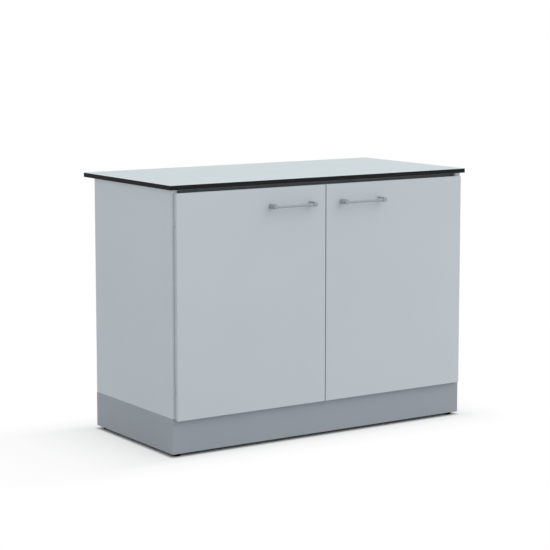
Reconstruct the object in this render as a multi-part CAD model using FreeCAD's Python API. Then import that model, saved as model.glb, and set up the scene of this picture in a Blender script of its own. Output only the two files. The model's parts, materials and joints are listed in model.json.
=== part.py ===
import FreeCAD, Part
import math
import os

# Free-standing laboratory base bench: compact-laminate worktop on a folded-steel
# cupboard with two hinged doors, one adjustable shelf, a plinth and levelling feet.
# Millimetres. +X right, +Y to the back, +Z up. The origin is on the floor, in the
# middle of the bench's outline, handles included.

V = FreeCAD.Vector

cut_over = 1.0                 # cutters run this far past the faces that they open
near = 0.05                    # how closely an edge's place must agree to be chosen

# ---------------------------------------------------------------- driving dimensions

# Worktop
bench_height = 900.0
top_depth = 600.0
top_side_overhang = 10.0
top_thick = 16.0
top_edge_bevel = 1.0
top_front_overhang = 15.0

# Body
body_width = 1200.0
body_depth = 525.0
sheet = 1.0
bend = 1.0                     # inside radius of a fold
fit_gap = 0.3                  # between neighbouring pieces of different bodies
wall_width = 24.0
wall_return = 15.0
floor_lip = 25.0
panel_return = 12.0
rail_setback = 20.0
rail_height = 34.0
rail_flange = 40.0
rail_lower_flange = 30.0
rail_tab_gap = 2.0             # tab's free edge behind the upper flange's edge

# Plinth and feet
plinth_height = 120.0
plinth_flange = 20.0
foot_height = 10.0
foot_radius = 15.0
foot_inset = 27.0
foot_bevel = 1.5
foot_travel = 15.0
foot_sides = 20
stud_sides = 12
stud_radius = 5.0
stud_reserve = 16.0            # stud left above its nut when the foot is right out
stud_seat = 3.0                # stud's lower end, above the floor
stud_tip_bevel = 1.0
thread_gap = 0.05
bracket_size = 62.0
bracket_thick = 3.0
bracket_upstand = 28.0
nut_across = 17.0
nut_height = 8.0

# Doors
door_thick = 16.0
door_standoff = 2.0
door_side_inset = 10.0
door_top_gap = 11.0
door_plinth_overlap = 7.0
door_meeting_gap = 3.0
door_flange = 18.0
door_edge_radius = 1.5
door_bar_flange = 20.0
door_bar_end_gap = 4.0

# Hinges
hinge_end_distance = 100.0
pin_radius = 2.0
pin_sides = 16
pin_run_gap = 0.05             # between the neck's flats and the pin's corners
pin_edge_distance = 5.0
pin_head_radius = 3.0
pin_head_height = 1.5
knuckle_radius = 3.5
knuckle_sides = 16
neck_height = 14.0
neck_thick = 2.5
door_knuckle_height = 18.0
knuckle_gap = 0.3
leaf_thick = 1.8
leaf_width = 38.0
neck_plate_width = 17.0
neck_plate_thick = 2.5
notch_gap = 0.75
swing_degrees = 110.0

# Handles
handle_spacing = 160.0
handle_reach = 36.0
handle_to_meeting_edge = 143.5
handle_below_door_top = 61.0
post_radius = 8.5
post_wall = 3.0
post_front_wall = 5.0
post_edge_bevel = 1.2
hollow_sides = 12
grip_radius = 4.0
grip_behind_front = 6.0
grip_drop = 1.5                # grip's axis below the posts' axes
sleeve_radius = 5.2
sleeve_sides = 8
sleeve_length = 24.0
spigot_radius = 3.0
spigot_length = 4.0

# Shelf
shelf_height = 505.0           # upper face, from the floor
shelf_thick = 25.0
shelf_side_gap = 3.0
shelf_front_gap = 30.0
shelf_back_gap = 6.0
slot_pitch = 64.0
slot_width = 3.0
slot_height = 10.0
slot_row_inset = 50.0
clip_width = 12.0
clip_thick = 1.6
clip_reach = 15.0
clip_drop = 14.0
hook_side_gap = 0.2
hook_end_gap = 0.5
hook_reach = 1.0               # hook's end behind the liner's back
stiffener_flange = 25.0
stiffener_height = 18.0

# Magnetic catches
catch_width = 46.0
catch_height = 14.0
catch_setback = 1.0            # housing's face behind the body's front plane
catch_from_centre = 60.0
magnet_width = 36.0
magnet_height = 8.0
magnet_depth = 12.0
magnet_recess = 1.0            # magnet's face behind the poles' faces
pole_thick = 1.5
catch_screw_inset = 6.0
catch_corner_bevel = 1.5

# Fasteners
screw_radius = 2.0
screw_head_radius = 4.0
screw_head_height = 2.0
top_screw_radius = 2.5
top_screw_head_radius = 5.0
top_screw_head_height = 3.0
top_screw_depth = 11.0
top_screw_count = 4
rivet_radius = 2.0
rivet_head_radius = 4.0
rivet_head_height = 1.2
bumper_radius = 4.0
bumper_sides = 12
fastener_sides = 6             # small fasteners and their holes have few faces
countersink_depth = 2.0
hinge_screw_grip = 2.0         # screw's length past the hinge plate
hinge_screw_offset = 2.0       # from the pin's axis, so that the door hides the heads

# ---------------------------------------------------------------- derived places

front_reach = door_standoff + door_thick + handle_reach
body_front = -(top_depth - top_front_overhang - front_reach) / 2
body_back = body_front + body_depth
top_width = body_width + 2 * top_side_overhang
top_front = body_front - top_front_overhang
top_back = top_front + top_depth

outer = -body_width / 2        # left side's outer face
inner = outer + wall_width     # left side's inner face
liner_face = inner - sheet     # the liner lies behind the side's folded returns

plinth_bottom = foot_height
plinth_top = plinth_bottom + plinth_height
floor_top = plinth_top + floor_lip
wall_top = bench_height - top_thick
panel_face = body_back - panel_return

door_back = body_front - door_standoff
door_front = door_back - door_thick
door_left = outer + door_side_inset
door_right = -door_meeting_gap / 2
door_bottom = plinth_top - door_plinth_overlap
door_top = wall_top - door_top_gap
door_liner_back = door_back - sheet
door_liner_front = door_liner_back - sheet

pin_x = door_left + pin_edge_distance
pin_y = door_back - door_thick / 2
run_bore = (pin_radius + pin_run_gap) / math.cos(math.pi / pin_sides)
hinge_screw_x = pin_x + hinge_screw_offset
hinge_levels = (door_bottom + hinge_end_distance, door_top - hinge_end_distance)
leaf_height = neck_height + 2 * (knuckle_gap + door_knuckle_height)

handle_x = door_right - handle_to_meeting_edge
handle_z = door_top - handle_below_door_top
screw_grip = handle_reach / 2  # handle screw's length inside its post

rail_front = body_front + rail_setback
rail_bottom = wall_top - rail_height

nut_top = plinth_bottom + sheet + bracket_thick + nut_height
stud_length = nut_top + foot_travel + stud_reserve - stud_seat

shelf_bottom = shelf_height - shelf_thick
slot_rows = (body_front + slot_row_inset, panel_face - slot_row_inset)

# ---------------------------------------------------------------- shared operations


def block(x, y, z):
    """Box between a low and a high value on each axis."""
    return Part.makeBox(x[1] - x[0], y[1] - y[0], z[1] - z[0], V(x[0], y[0], z[0]))


def rod(start, along, length, radius):
    return Part.makeCylinder(radius, length, V(*start), V(*along))


def mirrored(shape):
    """The same piece on the right-hand side."""
    return shape.mirror(V(0, 0, 0), V(1, 0, 0))


def group(solids):
    """Identical pieces that share one node."""
    return Part.makeCompound(list(solids))


def round_edges(shape, radius, wanted):
    """Fillets the edges whose middle point passes the test."""
    chosen = [e for e in shape.Edges if wanted(e.CenterOfMass)]
    return shape.makeFillet(radius, chosen)


def sheet_section(path, thick, radius, place):
    """Section of a folded sheet. The path is its outer face, with the metal on the left of it."""
    count = len(path)
    heads = []
    for a, b in zip(path, path[1:]):
        length = math.hypot(b[0] - a[0], b[1] - a[1])
        heads.append(((b[0] - a[0]) / length, (b[1] - a[1]) / length))

    def edges_of(side):
        """Lines and fold arcs of one face: side 0 is the outer face, 1 the inner."""
        found, start = [], None
        for i in range(count):
            ahead = heads[min(i, count - 2)]
            behind = heads[max(i - 1, 0)]
            shift = side * thick
            if i in (0, count - 1):
                near = (path[i][0] - ahead[1] * shift, path[i][1] + ahead[0] * shift)
                if start is not None:
                    found.append(Part.LineSegment(place(*start), place(*near)).toShape())
                start = near
                continue
            turn = behind[0] * ahead[1] - behind[1] * ahead[0]
            hand = 1.0 if turn > 0 else -1.0
            angle = math.atan2(turn, behind[0] * ahead[0] + behind[1] * ahead[1])
            reach = radius + thick if hand > 0 else radius
            back_off = reach * math.tan(abs(angle) / 2)
            first = (
                path[i][0] - behind[0] * back_off - behind[1] * shift,
                path[i][1] - behind[1] * back_off + behind[0] * shift,
            )
            last = (
                path[i][0] + ahead[0] * back_off - ahead[1] * shift,
                path[i][1] + ahead[1] * back_off + ahead[0] * shift,
            )
            centre = (
                path[i][0] - behind[0] * back_off - behind[1] * reach * hand,
                path[i][1] - behind[1] * back_off + behind[0] * reach * hand,
            )
            arc_radius = reach - hand * shift
            half = angle / 2
            spoke = (first[0] - centre[0], first[1] - centre[1])
            scale = arc_radius / math.hypot(*spoke)
            middle = (
                centre[0] + scale * (spoke[0] * math.cos(half) - spoke[1] * math.sin(half)),
                centre[1] + scale * (spoke[0] * math.sin(half) + spoke[1] * math.cos(half)),
            )
            found.append(Part.LineSegment(place(*start), place(*first)).toShape())
            found.append(Part.Arc(place(*first), place(*middle), place(*last)).toShape())
            start = last
        return found

    outside, inside = edges_of(0), edges_of(1)
    caps = [
        Part.LineSegment(a.Vertexes[k].Point, b.Vertexes[k].Point).toShape()
        for a, b, k in ((outside[0], inside[0], 0), (outside[-1], inside[-1], -1))
    ]
    wire = Part.Wire(Part.__sortEdges__(outside + inside + caps))
    return Part.Face(wire)


def folded(path, plane, start, length):
    """A folded sheet: its section, drawn in a plane, drawn out along the third axis."""
    place, along = {
        "xy": (lambda u, v: V(u, v, start), V(0, 0, length)),
        "yz": (lambda u, v: V(start, u, v), V(length, 0, 0)),
        "xz": (lambda u, v: V(u, start, v), V(0, length, 0)),
    }[plane]
    return sheet_section(path, sheet, bend, place).extrude(along)


def ring(centre, along, radius, sides):
    """Wire with flat sides round an axis, its corners on a circle."""
    axis = V(*along)
    u = V(0, 1, 0) if abs(axis.x) > 0.5 else V(1, 0, 0)
    v = axis.cross(u)
    turns = [2 * math.pi * i / sides for i in range(sides)]
    corners = [V(*centre) + u * (radius * math.cos(a)) + v * (radius * math.sin(a)) for a in turns]
    return Part.makePolygon(corners + corners[:1])


def prism(start, along, length, radius, sides=None):
    """Rod with flat sides."""
    section = Part.Face(ring(start, along, radius, sides or fastener_sides))
    return section.extrude(V(*along) * length)


def bevelled_end(solid, end, along, bevel):
    """Bevels all edges of a prism's end, which lies at a distance along its axis."""
    axis = V(*along)
    rim = [
        e
        for e in solid.Edges
        if all(abs(v.Point.dot(axis) - end) < near for v in e.Vertexes)
    ]
    return solid.makeChamfer(bevel, rim)


def fastener(seat, along, shank, radius, head_radius, head_height):
    """Screw or rivet: head on the seat, shank going the other way."""
    back = tuple(-a for a in along)
    head = prism(seat, along, head_height, head_radius)
    return head.fuse(prism(seat, back, shank, radius))


# ---------------------------------------------------------------- worktop


def top_screw_places():
    """Seats of the worktop's screws, under the upper flanges of both rails."""
    step = (2 * -liner_face) / top_screw_count
    xs = [liner_face + step * (i + 0.5) for i in range(top_screw_count)]
    ys = (rail_front + rail_flange / 2 + sheet, panel_face - rail_flange / 2 - sheet)
    return [(x, y, wall_top - sheet) for y in ys for x in xs]


def worktop():
    slab = block(
        (-top_width / 2, top_width / 2), (top_front, top_back), (wall_top, bench_height)
    )
    slab = slab.makeChamfer(top_edge_bevel, slab.Edges)
    pilots = [
        prism((x, y, wall_top), (0, 0, 1), top_screw_depth, top_screw_radius)
        for x, y, z in top_screw_places()
    ]
    return slab.cut(pilots)


def worktop_screws():
    shank = sheet + top_screw_depth
    return group(
        fastener(
            p, (0, 0, -1), shank, top_screw_radius, top_screw_head_radius, top_screw_head_height
        )
        for p in top_screw_places()
    )


# ---------------------------------------------------------------- carcass


def side_shell():
    """Outer skin of the left side: face, front and back edges, and the folded returns."""
    path = [
        (inner, panel_face),
        (inner, body_back),
        (outer, body_back),
        (outer, body_front),
        (inner, body_front),
        (inner, body_front + wall_return),
    ]
    skin = folded(path, "xy", plinth_top, wall_top - plinth_top)
    half = neck_thick / 2 + fit_gap
    slots = [
        block(
            (pin_x - half, pin_x + half),
            (body_front - cut_over, body_front + sheet + cut_over),
            (z - neck_height / 2 - fit_gap, z + neck_height / 2 + fit_gap),
        )
        for z in hinge_levels
    ]
    return skin.cut(slots)


def slot_levels():
    """Heights of the shelf slots, counted from the slot that carries the shelf."""
    low, high = floor_top + 2 * slot_pitch, rail_bottom - 2 * slot_pitch
    carrier = shelf_bottom - clip_drop / 2
    below = int((carrier - low) // slot_pitch)
    above = int((high - carrier) // slot_pitch)
    return [carrier + slot_pitch * i for i in range(-below, above + 1)]


def side_liner():
    """Inner skin of the left side, with two rows of slots for the shelf clips."""
    skin = block(
        (liner_face - sheet, liner_face),
        (body_front + sheet + bend, body_back - sheet - bend),
        (plinth_top, wall_top),
    )
    slots = [
        block(
            (liner_face - 2 * sheet, liner_face + sheet),
            (y - slot_width / 2, y + slot_width / 2),
            (z - slot_height / 2, z + slot_height / 2),
        )
        for y in slot_rows
        for z in slot_levels()
    ]
    return skin.cut(slots + rivet_holes())


def base_pan():
    """Cupboard floor with lips folded down to the plinth."""
    path = [
        (panel_face, plinth_top),
        (panel_face, floor_top),
        (body_front, floor_top),
        (body_front, plinth_top),
    ]
    return folded(path, "yz", inner, -2 * inner)


def back_panel():
    """Back sheet with flanges turned outwards all round."""
    tray = block((inner, -inner), (panel_face, body_back), (plinth_top, wall_top))
    hollow = block(
        (inner + sheet, -inner - sheet),
        (panel_face + sheet, body_back + cut_over),
        (plinth_top + sheet, wall_top - sheet),
    )
    return tray.cut(hollow)


def top_rail(web, open_to):
    """C-section under the worktop with a tab at each end; open_to is the way its flanges point."""
    upper, lower = web + open_to * rail_flange, web + open_to * rail_lower_flange
    path = [(upper, wall_top), (web, wall_top), (web, rail_bottom), (lower, rail_bottom)]
    if open_to < 0:
        path.reverse()
    channel = folded(path, "yz", liner_face, -2 * liner_face)
    tab_y = sorted((web + open_to * sheet, web + open_to * (rail_flange - rail_tab_gap)))
    tab = block(
        (liner_face, liner_face + sheet), tab_y, (rail_bottom + sheet, wall_top - sheet)
    )
    tab = tab.cut(rivet_holes())
    screws = [
        prism((x, y, z - cut_over), (0, 0, 1), sheet + 2 * cut_over, top_screw_radius)
        for x, y, z in top_screw_places()
    ]
    return channel.fuse([tab, mirrored(tab)]).cut(screws)


def rivet_places():
    """Rivets that tie the rails' end tabs to the left liner."""
    level = (wall_top + rail_bottom) / 2
    spread = rail_flange / 4
    return [
        (liner_face + sheet, centre + side * spread, level)
        for centre in (rail_front + rail_flange / 2, panel_face - rail_flange / 2)
        for side in (-1, 1)
    ]


def rivet_holes():
    """Cutters for the rivets' holes through liner and tab."""
    through = 2 * (sheet + cut_over)
    return [
        prism((x + cut_over, y, z), (-1, 0, 0), through, rivet_radius)
        for x, y, z in rivet_places()
    ]


def carcass_rivets():
    left = [
        fastener(p, (1, 0, 0), 2 * sheet, rivet_radius, rivet_head_radius, rivet_head_height)
        for p in rivet_places()
    ]
    return group(left + [mirrored(r) for r in left])


# ---------------------------------------------------------------- plinth and feet


def plinth_cut_heights():
    return (plinth_bottom - cut_over, plinth_top + cut_over)


def plinth_side():
    """Left plinth panel, its flanges cut short where the end panels pass across."""
    path = [
        (outer + plinth_flange, plinth_top),
        (outer, plinth_top),
        (outer, plinth_bottom),
        (outer + plinth_flange, plinth_bottom),
    ]
    panel = folded(path, "xz", body_front, body_depth)
    flange_x = (outer + sheet + bend, outer + plinth_flange + cut_over)
    front = (body_front - cut_over, body_front + sheet)
    back = (body_back - sheet, body_back + cut_over)
    ends = [block(flange_x, span, plinth_cut_heights()) for span in (front, back)]
    return panel.cut(ends)


def plinth_end(web, open_to):
    """Front or back plinth panel, notched at its ends for the side panels' flanges."""
    tip = web + open_to * plinth_flange
    path = [(tip, plinth_top), (web, plinth_top), (web, plinth_bottom), (tip, plinth_bottom)]
    if open_to < 0:
        path.reverse()
    panel = folded(path, "yz", outer + sheet, -2 * (outer + sheet))
    low, high = plinth_cut_heights()
    depth = sorted((web + open_to * sheet, tip + open_to * cut_over))
    notch = block((outer, outer + plinth_flange), depth, (low, high))
    fold_reliefs = [
        block((outer, outer + sheet + bend), sorted((web - open_to * cut_over, tip)), span)
        for span in (
            (low, plinth_bottom + sheet + bend),
            (plinth_top - sheet - bend, high),
        )
    ]
    cuts = [notch] + fold_reliefs
    return panel.cut(cuts + [mirrored(c) for c in cuts])


def foot_places():
    xs = (outer + foot_inset, -outer - foot_inset)
    ys = (body_front + foot_inset, body_back - foot_inset)
    return {
        "front_left": (xs[0], ys[0]),
        "front_right": (xs[1], ys[0]),
        "back_left": (xs[0], ys[1]),
        "back_right": (xs[1], ys[1]),
    }


def in_each_corner(shape):
    """Copies of a front-left piece in all four corners of the plinth."""
    middle = V(0, (body_front + body_back) / 2, 0)
    left = [shape, shape.mirror(middle, V(0, 1, 0))]
    return group(left + [mirrored(s) for s in left])


def foot_brackets():
    """Corner angles that lie on the plinth's lower flanges and take the feet's load."""
    x, y = outer + sheet + bend, body_front + sheet + bend
    z = plinth_bottom + sheet
    whole = block((x, x + bracket_size), (y, y + bracket_size), (z, z + bracket_upstand))
    hollow = block(
        (x + bracket_thick, x + bracket_size + cut_over),
        (y + bracket_thick, y + bracket_size + cut_over),
        (z + bracket_thick, z + bracket_upstand + cut_over),
    )
    corner = whole.cut(hollow)
    tips = [
        e
        for e in corner.Edges
        if abs(e.CenterOfMass.z - (z + bracket_thick / 2)) < near
        and abs(e.CenterOfMass.x - x - bracket_size) < near
        and abs(e.CenterOfMass.y - y - bracket_size) < near
    ]
    corner = corner.makeChamfer(bracket_size / 4, tips)
    hole = prism(
        (outer + foot_inset, body_front + foot_inset, z - cut_over),
        (0, 0, 1),
        bracket_thick + 2 * cut_over,
        stud_radius + fit_gap,
        stud_sides,
    )
    return in_each_corner(corner.cut(hole))


def foot_nuts():
    """Hexagon weld nuts that the studs turn in."""
    z = plinth_bottom + sheet + bracket_thick
    x, y = outer + foot_inset, body_front + foot_inset
    body = prism((x, y, z), (0, 0, 1), nut_height, nut_across / 2 / math.cos(math.pi / 6), 6)
    start, length = (x, y, z - cut_over), nut_height + 2 * cut_over
    thread = prism(start, (0, 0, 1), length, stud_radius + thread_gap, stud_sides)
    return in_each_corner(body.cut(thread))


def foot_pad(x, y):
    """Moulded foot: a bevelled disc that runs up to the plinth when screwed right in."""
    top, up = foot_height - fit_gap, (0, 0, 1)
    pad = prism((x, y, 0), up, top, foot_radius, foot_sides)
    pad = bevelled_end(pad, 0, up, foot_bevel)
    pad = bevelled_end(pad, top, up, 2 * foot_bevel)
    return pad.cut(prism((x, y, stud_seat), up, top, stud_radius, stud_sides))


def foot_stud(x, y):
    """Threaded stud, from the socket in the pad up through bracket and nut."""
    up = (0, 0, 1)
    stud = prism((x, y, stud_seat), up, stud_length, stud_radius, stud_sides)
    return bevelled_end(stud, stud_seat + stud_length, up, stud_tip_bevel)


# ---------------------------------------------------------------- doors (left one)


def hinge_notches():
    """Openings in the door's edge and back that the necks swing through."""
    swing = math.radians(swing_degrees)
    toward_edge = -math.sin(swing)
    reach = pin_edge_distance / abs(toward_edge)
    depth = -math.cos(swing) * reach + (neck_thick / 2) / math.sin(swing)
    return [
        block(
            (door_left - cut_over, pin_x + neck_thick / 2 + notch_gap),
            (pin_y - depth - notch_gap, door_back + cut_over),
            (z - neck_height / 2 - notch_gap, z + neck_height / 2 + notch_gap),
        )
        for z in hinge_levels
    ]


def handle_screw_holes():
    length, radius = door_thick + 2 * cut_over, screw_radius + fit_gap
    return [
        prism((x, door_back + cut_over, handle_z), (0, -1, 0), length, radius)
        for x in handle_post_xs()
    ]


def handle_post_xs():
    return (handle_x - handle_spacing / 2, handle_x + handle_spacing / 2)


def door_shell():
    """Door pan: face, four edges and the flanges folded in at the back."""
    pan = block((door_left, door_right), (door_front, door_back), (door_bottom, door_top))
    pan = round_edges(pan, door_edge_radius, lambda c: abs(c.y - door_front) < near)
    hollow = block(
        (door_left + sheet, door_right - sheet),
        (door_front + sheet, door_back - sheet),
        (door_bottom + sheet, door_top - sheet),
    )
    mouth = block(
        (door_left + door_flange, door_right - door_flange),
        (door_liner_front, door_back + cut_over),
        (door_bottom + door_flange, door_top - door_flange),
    )
    return pan.cut([hollow, mouth] + hinge_notches() + handle_screw_holes())


def door_liner():
    """Flat back sheet of the door, tucked in behind the flanges."""
    skin = block(
        (door_left + sheet, door_right - sheet),
        (door_liner_front, door_liner_back),
        (door_bottom + sheet, door_top - sheet),
    )
    return skin.cut(hinge_notches() + handle_screw_holes())


def door_stiffener():
    """Z-bar down the door's middle, spot-welded to its face and its liner."""
    floor, crown = door_front + sheet, door_liner_front - sheet
    x = (door_left + door_right) / 2
    end = sheet + door_bar_end_gap
    path = [(x - door_bar_flange, floor), (x, floor), (x, crown), (x + door_bar_flange, crown)]
    return folded(path, "xy", door_bottom + end, door_top - door_bottom - 2 * end)


def knuckle(low, height, bore):
    """Outside of a knuckle and the cutter for its bore."""
    up = (0, 0, 1)
    return (
        prism((pin_x, pin_y, low), up, height, knuckle_radius, knuckle_sides),
        prism((pin_x, pin_y, low - cut_over), up, height + 2 * cut_over, bore, pin_sides),
    )


def hinge_neck(level):
    """Carcass half: a plate inside the hollow side wall and a neck out to the middle knuckle."""
    tube, bore = knuckle(level - neck_height / 2, neck_height, run_bore)
    centre = (inner + outer) / 2
    plate_front = body_front + sheet
    plate = block(
        (centre - neck_plate_width / 2, centre + neck_plate_width / 2),
        (plate_front, plate_front + neck_plate_thick),
        (level - leaf_height / 2, level + leaf_height / 2),
    )
    neck = block(
        (pin_x - neck_thick / 2, pin_x + neck_thick / 2),
        (pin_y, plate_front + neck_plate_thick),
        (level - neck_height / 2, level + neck_height / 2),
    )
    screws = [hinge_screw(z) for z in hinge_screw_levels(level)]
    return plate.fuse([neck, tube]).cut([bore] + screws)


def hinge_screw_levels(level):
    offset = (leaf_height / 2 + neck_height / 2) / 2
    return (level - offset, level + offset)


def hinge_screw(z):
    """Countersunk screw, its head flush with the side wall's front edge."""
    x, along = hinge_screw_x, (0, 1, 0)
    length = sheet + neck_plate_thick + hinge_screw_grip
    rings = [
        ring((x, body_front + depth, z), along, radius, fastener_sides)
        for depth, radius in ((0, screw_head_radius), (countersink_depth, screw_radius))
    ]
    head = Part.makeLoft(rings, True, True)
    return head.fuse(prism((x, body_front, z), along, length, screw_radius))


def hinge_necks():
    return group(hinge_neck(z) for z in hinge_levels)


def hinge_leaf(level):
    """Door half: a leaf against the face's inside, with a knuckle above and one below the neck."""
    leaf_back = door_front + sheet + leaf_thick
    leaf = block(
        (pin_x + knuckle_radius - leaf_thick, pin_x + leaf_width),
        (door_front + sheet, leaf_back),
        (level - leaf_height / 2, level + leaf_height / 2),
    )
    pieces, bores = [], []
    for low in (level - leaf_height / 2, level + neck_height / 2 + knuckle_gap):
        tube, bore = knuckle(low, door_knuckle_height, pin_radius)
        riser = block(
            (pin_x + knuckle_radius - leaf_thick, pin_x + knuckle_radius),
            (door_front + sheet, pin_y),
            (low, low + door_knuckle_height),
        )
        pieces += [tube, riser]
        bores.append(bore)
    return leaf.fuse(pieces).cut(bores)


def hinge_leaves():
    return group(hinge_leaf(z) for z in hinge_levels)


def hinge_pins():
    """Pins pressed into the door's knuckles, each with a small head above."""
    pins = []
    for z in hinge_levels:
        low = z - leaf_height / 2
        shaft = prism((pin_x, pin_y, low), (0, 0, 1), leaf_height, pin_radius, pin_sides)
        seat = (pin_x, pin_y, low + leaf_height)
        head = prism(seat, (0, 0, 1), pin_head_height, pin_head_radius)
        pins.append(shaft.fuse(head))
    return group(pins)


def handle_sleeve(x):
    """Threaded sleeve with a spigot at its front end."""
    out = (0, -1, 0)
    sleeve = prism((x, door_front, handle_z), out, sleeve_length, sleeve_radius, sleeve_sides)
    tip = (x, door_front - sleeve_length, handle_z)
    return sleeve.fuse(prism(tip, out, spigot_length, spigot_radius))


def handle_sleeves():
    """Sleeves moulded into the handle's posts, which the screws from inside the door turn in."""
    return group(handle_sleeve(x).cut(handle_thread(x)) for x in handle_post_xs())


def handle_thread(x):
    start = (x, door_front + cut_over, handle_z)
    return prism(start, (0, -1, 0), cut_over + screw_grip, screw_radius)


def handle_post(x, inward):
    """Moulded post, hollow and open towards the grip, with a boss that holds its sleeve."""
    base, out = (x, door_front, handle_z), (0, -1, 0)
    shell = rod(base, out, handle_reach, post_radius)
    rim = [e for e in shell.Edges if abs(e.CenterOfMass.y - door_front + handle_reach) < near]
    shell = shell.makeChamfer(post_edge_bevel, rim)
    depth = handle_reach - post_front_wall
    half = post_radius - post_wall
    hollow = prism(base, out, depth, half, hollow_sides)
    window_x = sorted((x, x + inward * (post_radius + cut_over)))
    window = block(
        window_x, (door_front - depth, door_front), (handle_z - half, handle_z + half)
    )
    tip = (x, door_front - sleeve_length, handle_z)
    boss = prism(tip, out, depth - sleeve_length, sleeve_radius, sleeve_sides)
    return shell.cut([hollow, window]).fuse(boss)


def handle():
    """Moulded bow handle: two posts and a round grip set a little low between them."""
    left, right = handle_post_xs()
    grip = rod(
        (left, door_front - handle_reach + grip_behind_front, handle_z - grip_drop),
        (1, 0, 0),
        handle_spacing,
        grip_radius,
    )
    bow = handle_post(left, 1).fuse([handle_post(right, -1), grip])
    return bow.cut([handle_sleeve(left), handle_sleeve(right)]).removeSplitter()


def handle_screws():
    shank = door_liner_back - door_front + screw_grip
    return group(
        fastener(
            (x, door_liner_back, handle_z),
            (0, 1, 0),
            shank,
            screw_radius,
            screw_head_radius,
            screw_head_height,
        )
        for x in handle_post_xs()
    )


def door_bumpers():
    """Soft discs on the door's back flange: one over the side wall, two over the floor's lip."""
    edge = door_flange / 2
    lip_z = (plinth_top + min(floor_top, door_bottom + door_flange)) / 2
    thick = door_standoff - fit_gap
    places = [
        ((pin_x + inner) / 2, door_top - door_flange / 2),
        (inner + door_flange, lip_z),
        (door_right - edge, lip_z),
    ]
    return group(
        prism((x, door_back, z), (0, 1, 0), thick, bumper_radius, bumper_sides)
        for x, z in places
    )


# ---------------------------------------------------------------- shelf and catches


def shelf():
    """Shelf tray: upper sheet, lips folded down and turned in."""
    x = (liner_face + shelf_side_gap, -liner_face - shelf_side_gap)
    y = (body_front + shelf_front_gap, panel_face - shelf_back_gap)
    tray = block(x, y, (shelf_bottom, shelf_height))
    tray = round_edges(
        tray, bend + sheet, lambda c: abs(c.z - shelf_height) < near and abs(c.x) < near
    )
    hollow = block(
        (x[0] + sheet, x[1] - sheet),
        (y[0] + sheet, y[1] - sheet),
        (shelf_bottom + sheet, shelf_height - sheet),
    )
    mouth = block(
        (x[0] + panel_return, x[1] - panel_return),
        (y[0] + panel_return, y[1] - panel_return),
        (shelf_bottom - cut_over, shelf_bottom + 2 * sheet),
    )
    return tray.cut([hollow, mouth])


def shelf_stiffener():
    """Z-bar spot-welded under the shelf's upper sheet, along its middle."""
    middle = (body_front + shelf_front_gap + panel_face - shelf_back_gap) / 2
    top = shelf_height - sheet
    low = top - stiffener_height
    path = [
        (middle + stiffener_flange, low),
        (middle, low),
        (middle, top - sheet),
        (middle - stiffener_flange, top - sheet),
    ]
    end = liner_face + shelf_side_gap + panel_return
    return folded(path[::-1], "yz", end, -2 * end)


def shelf_clips():
    """Pressed clips: a hook in the slot, a back plate and a tongue under the shelf."""
    left = []
    for y in slot_rows:
        middle = shelf_bottom - clip_drop / 2
        hook = block(
            (liner_face - 2 * sheet - hook_reach, liner_face),
            (y - slot_width / 2 + hook_side_gap, y + slot_width / 2 - hook_side_gap),
            (middle - slot_height / 2 + hook_end_gap, middle + slot_height / 2 - hook_end_gap),
        )
        plate = block(
            (liner_face, liner_face + clip_thick),
            (y - clip_width / 2, y + clip_width / 2),
            (shelf_bottom - clip_drop, shelf_bottom),
        )
        tongue = block(
            (liner_face, liner_face + clip_reach),
            (y - clip_width / 2, y + clip_width / 2),
            (shelf_bottom - clip_thick, shelf_bottom),
        )
        left.append(plate.fuse([tongue, hook]))
    return group(left + [mirrored(c) for c in left])


def catch_span():
    """Left catch's housing: x and y ranges."""
    x = (-catch_from_centre - catch_width / 2, -catch_from_centre + catch_width / 2)
    y = (body_front + catch_setback, rail_front + rail_flange / 2)
    return x, y


def catch_magnet_boxes():
    """Magnet and the two pole plates beside it, left catch."""
    (x0, x1), (y0, y1) = catch_span()
    centre = (x0 + x1) / 2
    z = rail_bottom - catch_height / 2
    face = door_liner_back + fit_gap
    half_x, half_z = magnet_width / 2, magnet_height / 2
    ends = y0 + magnet_depth
    magnet = block(
        (centre - half_x, centre + half_x),
        (face + magnet_recess, ends),
        (z - half_z + pole_thick, z + half_z - pole_thick),
    )
    poles = [
        block((centre - half_x, centre + half_x), (face, ends), span)
        for span in (
            (z - half_z, z - half_z + pole_thick),
            (z + half_z - pole_thick, z + half_z),
        )
    ]
    return magnet, poles


def catch_screw_places():
    (x0, x1), (y0, y1) = catch_span()
    y = (rail_front + y1) / 2
    low = rail_bottom - catch_height
    return [(x0 + catch_screw_inset, y, low), (x1 - catch_screw_inset, y, low)]


def catch_housing():
    """Moulded housing round the magnet, its four upright corners bevelled."""
    (x0, x1), (y0, y1) = catch_span()
    body = block((x0, x1), (y0, y1), (rail_bottom - catch_height, rail_bottom))
    middle = rail_bottom - catch_height / 2
    corners = [e for e in body.Edges if abs(e.CenterOfMass.z - middle) < near]
    body = body.makeChamfer(catch_corner_bevel, corners)
    magnet, poles = catch_magnet_boxes()
    holes = [
        prism((x, y, z - cut_over), (0, 0, 1), catch_height + 2 * cut_over, screw_radius)
        for x, y, z in catch_screw_places()
    ]
    return body.cut([magnet] + poles + holes)


def catch_housings():
    left = catch_housing()
    return group([left, mirrored(left)])


def catch_magnets():
    magnet, poles = catch_magnet_boxes()
    left = [magnet] + poles
    return group(left + [mirrored(p) for p in left])


def catch_screws():
    left = [
        fastener(
            p,
            (0, 0, -1),
            catch_height + 3 * sheet,
            screw_radius,
            screw_head_radius,
            screw_head_height,
        )
        for p in catch_screw_places()
    ]
    return group(left + [mirrored(s) for s in left])


def front_top_rail():
    """Front rail with holes for the catches' screws."""
    rail = top_rail(rail_front, 1)
    holes = [
        prism((x, y, rail_bottom - cut_over), (0, 0, 1), sheet + 2 * cut_over, screw_radius)
        for x, y, z in catch_screw_places()
    ]
    return rail.cut(holes + [mirrored(h) for h in holes])


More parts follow.
